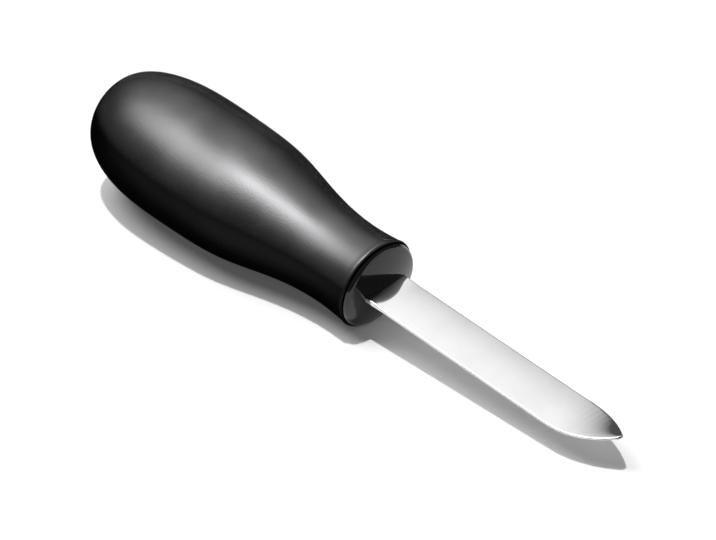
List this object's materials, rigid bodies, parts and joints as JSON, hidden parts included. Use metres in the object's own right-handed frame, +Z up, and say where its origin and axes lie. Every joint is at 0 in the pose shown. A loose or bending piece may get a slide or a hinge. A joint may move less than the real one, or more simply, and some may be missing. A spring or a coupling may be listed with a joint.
{
  "type": "oyster knife",
  "caption": "Short, stiff, blunt-edged blade with an upturned spear point, fixed in a soft oval bulb handle with a glossy hard collar, for prying shells open.",
  "frame": {"origin": "bottom centre of the bounding box, on the surface that the knife lies on", "axes": "+X from the butt to the tip, +Y across the blade, +Z up from the surface; the handle's axis and the blade dip by 4.4 degrees towards +X, as the knife rests on its belly and on the front of the handle"},
  "size_m": [0.1713, 0.0374, 0.0329],
  "materials": {
    "blade_steel": "fine ground, lengthwise",
    "pin_steel": "drawn dowel",
    "core_plastic": "polished",
    "grip_rubber": "satin, fine grain"
  },
  "bodies": {
    "root": {"blade": "blade_steel", "tang_pins": "pin_steel", "core_lower": "core_plastic", "core_upper": "core_plastic", "soft_grip": "grip_rubber"}
  },
  "joints": []
}
